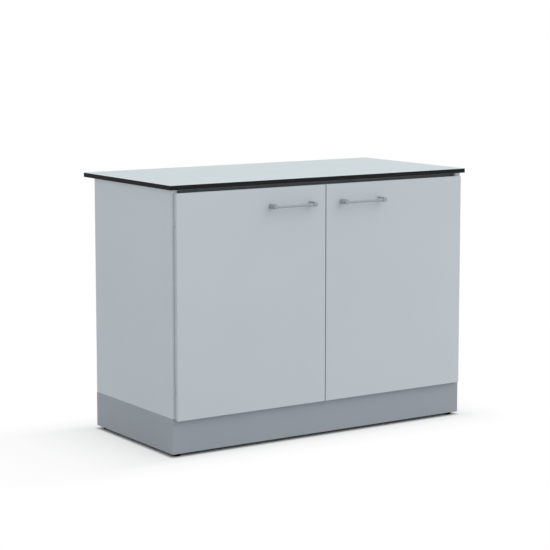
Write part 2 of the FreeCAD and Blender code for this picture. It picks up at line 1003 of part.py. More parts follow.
def hinge_screws():
    """Screws through the side wall's front edge into the necks' plates."""
    left = [hinge_screw(z) for level in hinge_levels for z in hinge_screw_levels(level)]
    return group(left + [mirrored(s) for s in left])


# ---------------------------------------------------------------- the nodes

shell_left = side_shell().cut(
    [hinge_screw(z) for level in hinge_levels for z in hinge_screw_levels(level)]
)
liner_left = side_liner()
plinth_left = plinth_side()
necks_left = hinge_necks()

nodes = {
    "worktop": worktop(),
    "worktop_screws": worktop_screws(),
    "side_shell_left": shell_left,
    "side_shell_right": mirrored(shell_left),
    "side_liner_left": liner_left,
    "side_liner_right": mirrored(liner_left),
    "base_pan": base_pan(),
    "back_panel": back_panel(),
    "front_top_rail": front_top_rail(),
    "rear_top_rail": top_rail(panel_face, -1),
    "carcass_rivets": carcass_rivets(),
    "plinth_front": plinth_end(body_front, 1),
    "plinth_back": plinth_end(body_back, -1),
    "plinth_left": plinth_left,
    "plinth_right": mirrored(plinth_left),
    "foot_brackets": foot_brackets(),
    "foot_nuts": foot_nuts(),
    "shelf": shelf(),
    "shelf_stiffener": shelf_stiffener(),
    "shelf_clips": shelf_clips(),
    "catch_housings": catch_housings(),
    "catch_magnets": catch_magnets(),
    "catch_screws": catch_screws(),
    "hinge_necks_left": necks_left,
    "hinge_necks_right": mirrored(necks_left),
    "hinge_screws": hinge_screws(),
}

door_pieces = {
    "shell": door_shell(),
    "liner": door_liner(),
    "stiffener": door_stiffener(),
    "handle": handle(),
    "handle_screws": handle_screws(),
    "handle_sleeves": handle_sleeves(),
    "hinge_leaves": hinge_leaves(),
    "hinge_pins": hinge_pins(),
    "bumpers": door_bumpers(),
}
for name, shape in door_pieces.items():
    nodes["door_left_" + name] = shape
    nodes["door_right_" + name] = mirrored(shape)

for corner, (x, y) in foot_places().items():
    nodes["foot_pad_" + corner] = foot_pad(x, y)
    nodes["foot_stud_" + corner] = foot_stud(x, y)

os.makedirs("parts", exist_ok=True)
for name, shape in nodes.items():
    shape.exportStep("parts/" + name + ".step")
print(len(nodes), "nodes")
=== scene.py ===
import json
import math

import bmesh
import bpy
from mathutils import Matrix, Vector


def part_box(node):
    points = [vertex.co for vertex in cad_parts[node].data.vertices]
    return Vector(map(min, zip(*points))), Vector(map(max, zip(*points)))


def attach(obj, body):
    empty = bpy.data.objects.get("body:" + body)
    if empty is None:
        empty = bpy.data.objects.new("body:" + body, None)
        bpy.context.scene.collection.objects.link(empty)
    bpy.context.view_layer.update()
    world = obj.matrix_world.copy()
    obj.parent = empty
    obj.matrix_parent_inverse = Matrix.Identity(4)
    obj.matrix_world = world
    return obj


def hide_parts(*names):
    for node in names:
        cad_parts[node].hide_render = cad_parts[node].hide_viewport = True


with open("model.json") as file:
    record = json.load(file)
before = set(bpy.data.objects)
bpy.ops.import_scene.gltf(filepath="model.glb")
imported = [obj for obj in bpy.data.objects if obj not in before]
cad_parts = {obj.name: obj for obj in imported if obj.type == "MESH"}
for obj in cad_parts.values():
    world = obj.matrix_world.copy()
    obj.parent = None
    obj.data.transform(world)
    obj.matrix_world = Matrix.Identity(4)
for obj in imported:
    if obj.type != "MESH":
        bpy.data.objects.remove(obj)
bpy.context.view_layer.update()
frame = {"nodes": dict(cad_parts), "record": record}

bl_info = {
    "name": "Laboratory base bench",
    "version": (1, 0, 0),
    "blender": (4, 5, 0),
    "location": "View3D > Sidebar > Bench",
    "description": "Dresses a two-door laboratory base bench with its finishes and fine detail",
    "category": "Add Mesh",
}

MM = 0.001
SIDES = ("left", "right")
CORNERS = ("front_left", "front_right", "back_left", "back_right")
ROUND_STEPS = 40  # round the handles and their sleeves
PLAIN_STEPS = 24  # round the fasteners
PAD_STEPS = 48  # round the feet
NEAR = 0.05 * MM  # how closely an edge's place must agree to be chosen
MERGE = MM * MM  # points closer than this are one
FACING = 0.9  # part of a normal along an axis that the face looks towards
FLAT = 0.99  # the same along z for a face that lies level
DOWN, UP, FRONT, BACK = (0, 0, -1), (0, 0, 1), (0, -1, 0), (0, 1, 0)


# ------------------------------------------------------------------ sizes and colours


def length(name, description, default, lowest=0.0, highest=100 * MM):
    """A length that the user may change."""
    return bpy.props.FloatProperty(
        name=name,
        description=description,
        default=default,
        min=lowest,
        max=highest,
        precision=5,
        unit="LENGTH",
    )


def colour(name, description, default):
    """A colour that the user may change, as linear light."""
    return bpy.props.FloatVectorProperty(
        name=name,
        description=description,
        default=default,
        size=3,
        min=0.0,
        max=1.0,
        subtype="COLOR",
    )


def share(name, description, default):
    """A plain number between nothing and one."""
    return bpy.props.FloatProperty(
        name=name, description=description, default=default, min=0.0, max=1.0, subtype="FACTOR"
    )


class BenchSizes(bpy.types.PropertyGroup):
    """Sizes of the fine detail."""

    decor_thick: length("Decor sheet", "Thickness of the worktop's lower decor sheet", 0.3 * MM)
    # The pale band on the worktop's upper bevel is a painted highlight, not a layer of the
    # laminate.
    arris_height: length("Arris", "Height of the pale arris round the worktop's face", 0.7 * MM)
    worktop_bevel: length("Worktop edge", "Bevel on the worktop's edges", 1.0 * MM)
    sheet: length("Sheet steel", "Thickness of the doors' sheet steel", 1.0 * MM)
    door_round: length("Door edge", "Radius on the doors' outer edges", 2.0 * MM)
    door_flange: length("Door flange", "Width of the flange folded in behind a door", 18.0 * MM)
    notch_width: length("Notch width", "Width of a hinge notch in a door", 7.0 * MM)
    notch_depth: length("Notch depth", "Depth of a hinge notch in a door", 11.9 * MM)
    notch_height: length("Notch height", "Height of a hinge notch in a door", 15.5 * MM)
    screw_hole: length("Screw hole", "Radius of a handle screw's hole", 2.3 * MM)
    post_wall: length("Post wall", "Wall of a handle's hollow post", 3.0 * MM)
    post_front: length("Post front", "Thickness of a handle post's front", 5.0 * MM)
    post_round: length("Post edge", "Radius round a handle post's front", 1.6 * MM)
    sleeve_length: length("Sleeve", "Length of a post's steel sleeve", 24.0 * MM)
    spigot_radius: length("Spigot", "Radius of the spigot at a sleeve's end", 3.0 * MM)
    sleeve_bevel: length("Sleeve edge", "Bevel round a sleeve's end", 0.4 * MM)
    grip_radius: length("Grip", "Radius of a handle's grip", 4.0 * MM)
    grip_setback: length("Grip setback", "Grip's axis behind the posts' fronts", 6.0 * MM)
    grip_drop: length("Grip drop", "Grip's axis below the posts' axes", 1.5 * MM)
    handle_ease: length("Handle edges", "Small radius on a handle's moulded edges", 0.35 * MM)
    shank_radius: length("Screw shank", "Radius of the small screws' shanks", 2.0 * MM)
    wide_shank: length("Worktop screw", "Radius of the worktop screws' shanks", 2.5 * MM)
    recess_span: length("Recess span", "Width across a screw's cross recess", 4.2 * MM)
    recess_slot: length("Recess slot", "Width of a cross recess's arm", 1.0 * MM)
    flush_recess: length("Flush recess", "Depth of a hinge screw's cross recess", 1.4 * MM)
    worktop_head: length("Worktop head", "Height of the worktop screws' heads", 3.0 * MM)
    small_head: length("Small head", "Height of the small screws' heads", 2.0 * MM)
    rivet_dome: length("Rivet head", "Height of a blind rivet's head", 1.2 * MM)
    stud_radius: length("Stud", "Radius of a foot's stud over its thread", 5.0 * MM)
    thread_pitch: length("Thread pitch", "Pitch of a foot stud's thread", 1.5 * MM)
    thread_depth: length("Thread depth", "Depth of a foot stud's thread", 0.8 * MM)
    thread_start: length("Plain shank", "Stud's length below its thread", 9.0 * MM)
    stud_play: length("Stud play", "Gap between a foot's stud and its pad", 0.15 * MM)
    pad_round: length("Pad edge", "Radius on a foot pad's lower edge", 1.5 * MM)
    pad_shoulder: length("Pad shoulder", "Radius on a foot pad's upper edge", 3.0 * MM)
    sole_hollow: length("Sole hollow", "Depth of the hollow under a foot pad", 0.8 * MM)
    pin_radius: length("Hinge pin", "Radius of a hinge pin", 2.0 * MM)
    pin_head: length("Pin head", "Height of a hinge pin's head", 1.5 * MM)
    pin_chamfer: length("Pin chamfer", "Chamfer on a hinge pin's lower end", 0.3 * MM)


class BenchColours(bpy.types.PropertyGroup):
    """Colours of the finishes."""

    # Doors and sides are one light grey paint. The doors' tint is set a little darker than the
    # cupboard's to fit the light on front and side, so the difference between the two tints is
    # painted light and shade.
    cupboard: colour("Cupboard", "Powder coat on sides, floor and shelf", (0.562, 0.613, 0.651))
    door: colour("Doors", "Powder coat on the doors", (0.535, 0.579, 0.614))
    # The rails' dark grey is partly their own paint and partly painted shade. It is tuned to the
    # dark tone of the shaded slot between the worktop and the doors, and the rear rail takes it
    # too.
    rail: colour("Rails", "Powder coat on the rails", (0.205, 0.222, 0.240))
    plinth: colour("Plinth", "Powder coat on the plinth", (0.314, 0.350, 0.386))
    decor: colour("Worktop face", "The worktop's decor sheet", (0.530, 0.616, 0.642))
    core: colour("Worktop core", "The worktop's dark core", (0.0125, 0.0120, 0.0125))
    # Painted highlight: the pale tint on the worktop's upper bevel stands in for the light its
    # edge catches.
    arris: colour("Worktop arris", "Pale line round the worktop's face", (0.800, 0.860, 0.880))
    handle: colour("Handles", "Moulded plastic of the handles", (0.338, 0.364, 0.392))
    zinc: colour("Zinc", "Zinc plating on screws and brackets", (0.640, 0.655, 0.670))
    # The hinges' necks get a lighter zinc than the screws so that they do not show dark in their
    # notches. The extra lightness is painted light against the notches' shade.
    hinge: colour("Hinge necks", "Satin plating on the hinges' necks", (0.800, 0.810, 0.820))
    steel: colour("Bright steel", "Hinge pins and magnet poles", (0.560, 0.560, 0.565))
    sleeve: colour("Sleeves", "Bright plating of the handles' sleeves", (0.960, 0.965, 0.970))
    rubber: colour("Bumpers", "Soft bumpers behind the doors", (0.045, 0.045, 0.047))
    foot: colour("Feet", "Moulded plastic of the feet", (0.004, 0.004, 0.004))
    catch: colour("Catches", "Moulded plastic of the catches", (0.700, 0.700, 0.690))


class BenchLook(bpy.types.PropertyGroup):
    """Light on the stage."""

    ambient: share("Ambient", "Strength of the light from all round", 0.845)
    slope: share("Slope", "How much brighter the light is from the front right", 0.22)
    key_power: bpy.props.FloatProperty(
        name="Key light", description="Power of the main lamp", default=60.0, unit="POWER"
    )
    floor_tone: share("Floor", "Lightness of the floor", 0.65)


def sizes():
    return bpy.context.scene.bench_sizes


# ------------------------------------------------------------------ modelling helpers


def to_object_mode():
    if bpy.context.mode != "OBJECT":
        bpy.ops.object.mode_set(mode="OBJECT")


def deselect_all():
    to_object_mode()
    bpy.ops.object.select_all(action="DESELECT")


def take(piece):
    """Selects one piece alone and makes it active."""
    deselect_all()
    piece.select_set(True)
    bpy.context.view_layer.objects.active = piece
    return piece


def settle(piece):
    """Writes a piece's place into its mesh, so that the object lies at the origin."""
    take(piece)
    bpy.ops.object.transform_apply(location=True, rotation=True, scale=True)
    return piece


def added(name):
    """The primitive just added, under its own name."""
    piece = bpy.context.object
    piece.name = name
    piece.data.name = name
    return piece


def box(name, low, high):
    """A box between two corners."""
    low, high = Vector(low), Vector(high)
    deselect_all()
    bpy.ops.mesh.primitive_cube_add(size=1.0, location=(low + high) / 2)
    piece = added(name)
    piece.scale = high - low
    return settle(piece)


def round_bar(name, start, end, radius, steps=ROUND_STEPS):
    """A round bar between two points."""
    start, end = Vector(start), Vector(end)
    deselect_all()
    bpy.ops.mesh.primitive_cylinder_add(
        vertices=steps, radius=radius, depth=(end - start).length, location=(start + end) / 2
    )
    piece = added(name)
    piece.rotation_euler = (end - start).to_track_quat("Z", "Y").to_euler()
    return settle(piece)


def edit(piece, kind, chosen):
    """Opens a piece for editing with the faces, edges or points selected that pass a test."""
    take(piece)
    bpy.ops.object.mode_set(mode="EDIT")
    bpy.ops.mesh.select_mode(type=kind)
    bpy.ops.mesh.select_all(action="DESELECT")
    mesh = bmesh.from_edit_mesh(piece.data)
    mesh.normal_update()
    for item in {"VERT": mesh.verts, "EDGE": mesh.edges, "FACE": mesh.faces}[kind]:
        if chosen(item):
            item.select_set(True)
    mesh.select_flush_mode()
    bmesh.update_edit_mesh(piece.data)


def middle(edge):
    return (edge.verts[0].co + edge.verts[1].co) / 2


def soften(piece, width, chosen, segments=3):
    """Rounds the edges that pass a test."""
    edit(piece, "EDGE", chosen)
    bpy.ops.mesh.bevel(offset=width, segments=segments, profile=0.5, affect="EDGES")
    to_object_mode()
    return piece


def apply_modifier(piece, kind, **settings):
    """Adds a modifier to a piece, sets it and applies it."""
    take(piece)
    modifier = piece.modifiers.new("shape", kind)
    for key, value in settings.items():
        setattr(modifier, key, value)
    bpy.ops.object.modifier_apply(modifier=modifier.name)
    return piece


def combine(piece, others, operation):
    """Cuts the other pieces from a piece, or joins them to it, and removes them."""
    for other in others:
        apply_modifier(piece, "BOOLEAN", operation=operation, solver="EXACT", object=other)
        bpy.data.objects.remove(other)
    return piece


def smooth(piece, degrees=35.0):
    """Smooth shading, with sharp edges where faces meet at more than an angle."""
    take(piece)
    bpy.ops.object.shade_smooth_by_angle(angle=math.radians(degrees))
    return apply_modifier(piece, "WEIGHTED_NORMAL", keep_sharp=True, weight=80)


def turned(name, profile, seat, along, steps=PLAIN_STEPS):
    """A turned solid: radius and height pairs drawn from a seat along an axis, then spun round."""
    deselect_all()
    bpy.ops.mesh.primitive_plane_add(size=MM, location=(0, 0, 0))
    piece = added(name)
    edit(piece, "VERT", lambda v: True)
    bpy.ops.mesh.merge(type="CENTER")
    radius, height = profile[0]
    bpy.ops.transform.translate(value=(radius, 0, height))
    for (r0, h0), (r1, h1) in zip(profile, profile[1:]):
        bpy.ops.mesh.extrude_region_move(TRANSFORM_OT_translate={"value": (r1 - r0, 0, h1 - h0)})
    bpy.ops.mesh.select_all(action="SELECT")
    bpy.ops.mesh.spin(steps=steps, angle=2 * math.pi, center=(0, 0, 0), axis=(0, 0, 1))
    bpy.ops.mesh.select_all(action="SELECT")
    bpy.ops.mesh.remove_doubles(threshold=MERGE)
    bpy.ops.mesh.normals_make_consistent(inside=False)
    to_object_mode()
    piece.rotation_euler = Vector(along).to_track_quat("Z", "Y").to_euler()
    piece.location = seat
    return settle(piece)


def arc(centre_r, centre_h, radius, first, last, count):
    """Profile points on an arc, its angles in degrees from straight out."""
    turns = [math.radians(first + (last - first) * i / count) for i in range(count + 1)]
    return [(centre_r + radius * math.cos(a), centre_h + radius * math.sin(a)) for a in turns]


def dome(radius, base, height, count=6):
    """Profile points up a dome, short of its top."""
    turns = [math.radians(90 * i / count) for i in range(count)]
    return [(radius * math.cos(a), base + height * math.sin(a)) for a in turns]


def copied(piece, offset):
    """A copy of a piece with its own mesh, moved by an offset."""
    take(piece)
    bpy.ops.object.duplicate()
    twin = bpy.context.object
    twin.location = offset
    return settle(twin)


def gathered(name, pieces):
    """Several copies joined as one named piece."""
    deselect_all()
    for piece in pieces:
        piece.select_set(True)
    bpy.context.view_layer.objects.active = pieces[0]
    if len(pieces) > 1:
        bpy.ops.object.join()
    whole = bpy.context.object
    whole.name = name
    whole.data.name = name
    return whole


def solids_of(node):
    """Lowest and highest corner of each separate solid in a CAD node."""
    mesh = bmesh.new()
    mesh.from_mesh(frame["nodes"][node].data)
    bmesh.ops.remove_doubles(mesh, verts=mesh.verts, dist=MERGE)
    waiting, found = set(mesh.verts), []
    while waiting:
        reached, members = [waiting.pop()], []
        while reached:
            vert = reached.pop()
            members.append(vert.co.copy())
            for edge in vert.link_edges:
                other = edge.other_vert(vert)
                if other in waiting:
                    waiting.remove(other)
                    reached.append(other)
        corners = [Vector(pick(v[i] for v in members) for i in range(3)) for pick in (min, max)]
        found.append(corners)
    mesh.free()
    return sorted(found, key=lambda c: tuple(round(x, 5) for x in c[0]))


def dress(piece, body, slot, *nodes, more=()):
    """Gives a piece its slot's finish and any more, its body and the CAD nodes it stands for."""
    piece.data.materials.clear()
    for finish in (SLOT_FINISHES[slot], *more):
        piece.data.materials.append(FINISHES[finish])
    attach(piece, body)
    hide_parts(*nodes)


# ------------------------------------------------------------------ finish helpers


class Value:
    """A number in a material. Sums written with it add Math nodes."""

    def __init__(self, finish, socket):
        self.finish, self.socket = finish, socket

    def _math(self, operation, first, second=0.0):
        return self.finish.node("ShaderNodeMath", {"operation": operation}, {0: first, 1: second})

    def __add__(self, other):
        return self._math("ADD", self, other)

    def __sub__(self, other):
        return self._math("SUBTRACT", self, other)

    def __mul__(self, other):
        return self._math("MULTIPLY", self, other)

    def __pow__(self, other):
        return self._math("POWER", self, other)

    def max(self, other):
        return self._math("MAXIMUM", self, other)

    def abs(self):
        return self._math("ABSOLUTE", self)

    __radd__ = __add__


class Finish:
    """A node material built up from its surface backwards."""

    def __init__(self, name):
        self.material = bpy.data.materials.new(name)
        self.material.use_nodes = True
        self.tree = self.material.node_tree
        self.surface = self.tree.nodes["Principled BSDF"]
        self.place = self.node("ShaderNodeTexCoord", {}, {}, "Object")

    def node(self, kind, settings, sockets, out=0):
        """Adds a node: its settings first, then its sockets' values or links."""
        made = self.tree.nodes.new(kind)
        for key, value in settings.items():
            if key == "stops":
                ramp = made.color_ramp
                for i, (position, level) in enumerate(value):
                    stop = ramp.elements[i] if i < 2 else ramp.elements.new(position)
                    stop.position, stop.color = position, (level, level, level, 1.0)
            else:
                setattr(made, key, value)
        for key, value in sockets.items():
            self.feed(made.inputs[key], value)
        return Value(self, made.outputs[out])

    def several(self, kind, sockets, outs):
        """Adds a node and gives several of its outputs."""
        made = self.node(kind, {}, sockets).socket.node
        return [Value(self, made.outputs[out]) for out in outs]

    def feed(self, socket, value):
        if isinstance(value, Value):
            self.tree.links.new(value.socket, socket)
        elif isinstance(value, (tuple, list)) and len(value) == 3 and socket.type == "RGBA":
            socket.default_value = (*value, 1.0)
        else:
            socket.default_value = value

    def stretched(self, scale):
        """Object coordinates scaled apart on each axis."""
        return self.node("ShaderNodeMapping", {}, {"Vector": self.place, "Scale": scale})

    def noise(self, scale, detail=2.0, place=None, roughness=0.5):
        return self.node(
            "ShaderNodeTexNoise",
            {},
            {
                "Vector": place or self.place,
                "Scale": scale,
                "Detail": detail,
                "Roughness": roughness,
            },
        )

    def ramp(self, value, stops):
        return self.node("ShaderNodeValToRGB", {"stops": stops}, {0: value})

    def mixed(self, factor, first, second):
        """A colour between two."""
        return self.node(
            "ShaderNodeMix", {"data_type": "RGBA"}, {0: factor, 6: first, 7: second}, 2
        )

    def bump(self, height, distance, strength=1.0):
        return self.node(
            "ShaderNodeBump", {}, {"Height": height, "Distance": distance, "Strength": strength}
        )

    def set(self, **sockets):
        """Sets or links the surface's own sockets."""
        for key, value in sockets.items():
            self.feed(self.surface.inputs[key.replace("_", " ")], value)
        return self.material


def toned(tint, factor):
    """A colour made lighter or darker."""
    return tuple(min(1.0, c * factor) for c in tint)


def powder_coat(name, tint, scuffs=0.0):
    """Satin powder coat: a faint drift of tone, fine orange peel and, low down, light scuffs."""
    finish = Finish(name)
    drift = finish.ramp(finish.noise(1.6, 3.0), [(0.3, 0.0), (0.7, 1.0)])
    speck = finish.noise(900.0, 1.0)
    base = finish.mixed(drift, toned(tint, 0.975), toned(tint, 1.015))
    base = finish.mixed(speck * 0.12, base, toned(tint, 0.86))
    roughness = 0.40 + finish.noise(14.0, 4.0) * 0.10
    peel = finish.noise(420.0, 2.0) * 0.7 + finish.noise(95.0, 1.0) * 0.3
    if scuffs:
        streaks = finish.noise(1.0, 5.0, finish.stretched((5.0, 5.0, 150.0)), 0.65)
        marks = finish.ramp(streaks, [(0.60, 0.0), (0.74, 1.0)])
        base = finish.mixed(marks * scuffs, base, toned(tint, 1.22))
        roughness = roughness + marks * (scuffs * 0.5)
    return finish.set(
        Base_Color=base,
        Roughness=roughness,
        Specular_IOR_Level=0.35,
        Normal=finish.bump(peel, 0.05 * MM, 0.5),
    )


def laminate_face(name, tint):
    """Compact laminate's decor sheet: even and pale, with a fine pearl stipple."""
    finish = Finish(name)
    fleck = finish.ramp(finish.noise(700.0, 2.0), [(0.42, 0.0), (0.62, 1.0)])
    cloud = finish.noise(2.2, 3.0)
    base = finish.mixed(fleck * 0.35, toned(tint, 1.0), toned(tint, 0.955))
    base = finish.mixed(cloud * 0.4, base, toned(tint, 1.03))
    pearl = finish.noise(380.0, 2.0)
    return finish.set(
        Base_Color=base,
        Roughness=0.36 + finish.noise(9.0, 3.0) * 0.12,
        Specular_IOR_Level=0.45,
        Normal=finish.bump(pearl, 0.06 * MM, 0.6),
    )


def laminate_core(name, tint):
    """The pressed core on the cut edge: thin paper layers and a polished saw cut."""
    finish = Finish(name)
    layers = finish.noise(1.0, 2.0, finish.stretched((4.0, 4.0, 3200.0)))
    saw = finish.noise(1.0, 2.0, finish.stretched((900.0, 900.0, 12.0)))
    base = finish.mixed(
        finish.ramp(layers, [(0.45, 0.0), (0.68, 1.0)]), tint, toned(tint, 2.1)
    )
    return finish.set(
        Base_Color=base,
        Roughness=0.38 + saw * 0.14,
        Specular_IOR_Level=0.04,
        Normal=finish.bump(layers * 0.6 + saw * 0.4, 0.04 * MM, 0.6),
    )


def moulded_plastic(name, tint, roughness, grain=650.0, specular=0.45):
    """Moulded plastic with a fine spark-eroded grain."""
    finish = Finish(name)
    texture = finish.noise(grain, 3.0, roughness=0.6)
    drift = finish.noise(22.0, 2.0)
    base = finish.mixed(texture * 0.5, toned(tint, 0.93), toned(tint, 1.07))
    base = finish.mixed(drift * 0.3, base, toned(tint, 1.06))
    return finish.set(
        Base_Color=base,
        Roughness=roughness + (texture - 0.5) * 0.16,
        Specular_IOR_Level=specular,
        Normal=finish.bump(texture, 0.05 * MM, 0.6),
    )


def plated_steel(name, tint, roughness):
    """Plated or ground steel: cloudy tone, fine marks and some grain along its length."""
    finish = Finish(name)
    cloud = finish.noise(120.0, 4.0, roughness=0.6)
    lines = finish.noise(1.0, 2.0, finish.stretched((180.0, 2600.0, 2600.0)))
    base = finish.mixed(cloud, toned(tint, 0.80), toned(tint, 1.12))
    return finish.set(
        Base_Color=base,
        Metallic=1.0,
        Roughness=roughness + (cloud - 0.5) * 0.22 + lines * 0.06,
        Normal=finish.bump(lines * 0.5 + cloud * 0.5, 0.02 * MM, 0.6),
    )


def rubber(name, tint):
    """Soft matt rubber with a faint bloom."""
    finish = Finish(name)
    bloom = finish.noise(260.0, 4.0)
    return finish.set(
        Base_Color=finish.mixed(bloom, tint, toned(tint, 1.7)),
        Roughness=0.78 + bloom * 0.12,
        Specular_IOR_Level=0.3,
        Normal=finish.bump(bloom, 0.05 * MM, 0.5),
    )


FINISHES = {}

SLOT_FINISHES = {
    "body_powder_coat": "cupboard",
    "door_powder_coat": "door",
    "rail_powder_coat": "rail",
    "plinth_powder_coat": "plinth",
    "compact_laminate": "decor",
    "zinc_plated_steel": "zinc",
    "pin_steel": "steel",
    "sleeve_steel": "sleeve",
    "handle_plastic": "handle",
    "bumper_rubber": "rubber",
    "foot_plastic": "foot",
    "catch_plastic": "catch",
    "magnet_steel": "steel",
}


# The necks' own lighter finish is painted light: it cancels the shade in the doors' hinge notches.
NODE_FINISHES = {"hinge_necks_left": "hinge", "hinge_necks_right": "hinge"}


def node_finishes():
    """The finish of each CAD node: its own, or that of its material slot in the record."""
    slots = {part["node"]: part["material_slot"] for part in frame["record"]["subparts"]}
    return {node: NODE_FINISHES.get(node, SLOT_FINISHES[slot]) for node, slot in slots.items()}


# ------------------------------------------------------------------ the operators


class BenchOperator:
    """What all the bench's operators share."""

    bl_options = {"REGISTER", "UNDO"}


class BENCH_OT_finishes(BenchOperator, bpy.types.Operator):
    """Makes the finishes and gives them to the CAD nodes that stay in view"""

    bl_idname = "bench.finishes"
    bl_label = "Finishes"

    def execute(self, context):
        tints = context.scene.bench_colours
        FINISHES.update(
            # The cupboard and the doors are one paint; the small difference between their tints is
            # painted light and shade.
            cupboard=powder_coat("cupboard_powder_coat", tuple(tints.cupboard)),
            door=powder_coat("door_powder_coat", tuple(tints.door)),
            # The rails' dark tint is partly painted shade under the worktop.
            rail=powder_coat("rail_powder_coat", tuple(tints.rail)),
            plinth=powder_coat("plinth_powder_coat", tuple(tints.plinth), scuffs=0.10),
            decor=laminate_face("worktop_decor", tuple(tints.decor)),
            core=laminate_core("worktop_core", tuple(tints.core)),
            # The pale bevel finish is a painted highlight.
            arris=laminate_face("worktop_arris", tuple(tints.arris)),
            handle=moulded_plastic("handle_plastic", tuple(tints.handle), 0.42),
            zinc=plated_steel("zinc_plating", tuple(tints.zinc), 0.38),
            # Lighter zinc on the necks: painted light against the notches' shade.
            hinge=plated_steel("neck_zinc_painted_light", tuple(tints.hinge), 0.62),
            steel=plated_steel("bright_steel", tuple(tints.steel), 0.26),
            sleeve=plated_steel("bright_nickel", tuple(tints.sleeve), 0.55),
            rubber=rubber("bumper_rubber", tuple(tints.rubber)),
            foot=moulded_plastic("foot_plastic", tuple(tints.foot), 0.75, 420.0, 0.03),
            catch=moulded_plastic("catch_plastic", tuple(tints.catch), 0.48),
        )
        for node, finish in node_finishes().items():
            piece = frame["nodes"][node]
            piece.data.materials.clear()
            piece.data.materials.append(FINISHES[finish])
        return {"FINISHED"}


class BENCH_OT_worktop(BenchOperator, bpy.types.Operator):
    """Adds the worktop: a dark core between two decor sheets, the upper with a pale band on its
    bevel that is a painted highlight
    """

    bl_idname = "bench.worktop"
    bl_label = "Worktop"

    def execute(self, context):
        s = sizes()
        low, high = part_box("worktop")
        slab = box("worktop_slab", low, high)
        soften(slab, s.worktop_bevel, lambda e: True, 3)
        levels = (low.z + s.decor_thick, high.z - s.arris_height)
        for level in levels:
            edit(slab, "FACE", lambda f: True)
            bpy.ops.mesh.bisect(plane_co=(0, 0, level), plane_no=(0, 0, 1))
            to_object_mode()
        smooth(slab)
        dress(slab, "cabinet", "compact_laminate", "worktop", more=("core", "arris"))
        core, arris = 1, 2
        # Faces between the decor sheets take the dark core. Faces on the upper bevel take the pale
        # finish, a painted highlight along the edge.
        for face in slab.data.polygons:
            if levels[0] < face.center.z < levels[1]:
                face.material_index = core
            elif face.center.z > levels[1] and face.normal.z < FLAT:
                face.material_index = arris
        return {"FINISHED"}


class BENCH_OT_doors(BenchOperator, bpy.types.Operator):
    """Adds both doors' pans: rounded face, four edges and the flange folded in behind"""

    bl_idname = "bench.doors"
    bl_label = "Door pans"

    def execute(self, context):
        for side in SIDES:
            self.pan(side)
        return {"FINISHED"}

    def outside(self, edge, rim):
        """An outer edge round the face, or one that runs back from its corners."""
        low, high = rim
        centre = middle(edge)
        on_side = min(centre.x - low.x, high.x - centre.x) < NEAR
        on_end = min(centre.z - low.z, high.z - centre.z) < NEAR
        return (on_side and on_end) or ((on_side or on_end) and centre.y - low.y < NEAR)

    def pan(self, side):
        s = sizes()
        low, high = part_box(f"door_{side}_shell")
        hand = 1 if side == "left" else -1
        pan = box(f"door_{side}_pan", low, high)
        edit(pan, "FACE", lambda f: f.normal.y > FACING)
        bpy.ops.mesh.inset(thickness=s.door_flange)
        bpy.ops.mesh.delete(type="FACE")
        to_object_mode()
        apply_modifier(
            pan, "SOLIDIFY", thickness=s.sheet, offset=-1.0, use_even_offset=True, use_rim=True
        )
        rim = (low, high)
        soften(pan, s.door_round, lambda e: self.outside(e, rim), 4)
        edge = low.x if side == "left" else high.x
        cuts = []
        for neck_low, neck_high in solids_of(f"hinge_necks_{side}"):
            level = (neck_low.z + neck_high.z) / 2
            x = sorted((edge - hand * MM, edge + hand * s.notch_width))
            cuts.append(
                box(
                    "notch",
                    (x[0], high.y - s.notch_depth, level - s.notch_height / 2),
                    (x[1], high.y + MM, level + s.notch_height / 2),
                )
            )
        for screw_low, screw_high in solids_of(f"door_{side}_handle_screws"):
            centre = (screw_low + screw_high) / 2
            cuts.append(
                round_bar(
                    "hole",
                    (centre.x, low.y - MM, centre.z),
                    (centre.x, high.y + MM, centre.z),
                    s.screw_hole,
                    PLAIN_STEPS,
                )
            )
        combine(pan, cuts, "DIFFERENCE")
        smooth(pan)
        dress(pan, f"door_{side}", "door_powder_coat", f"door_{side}_shell")


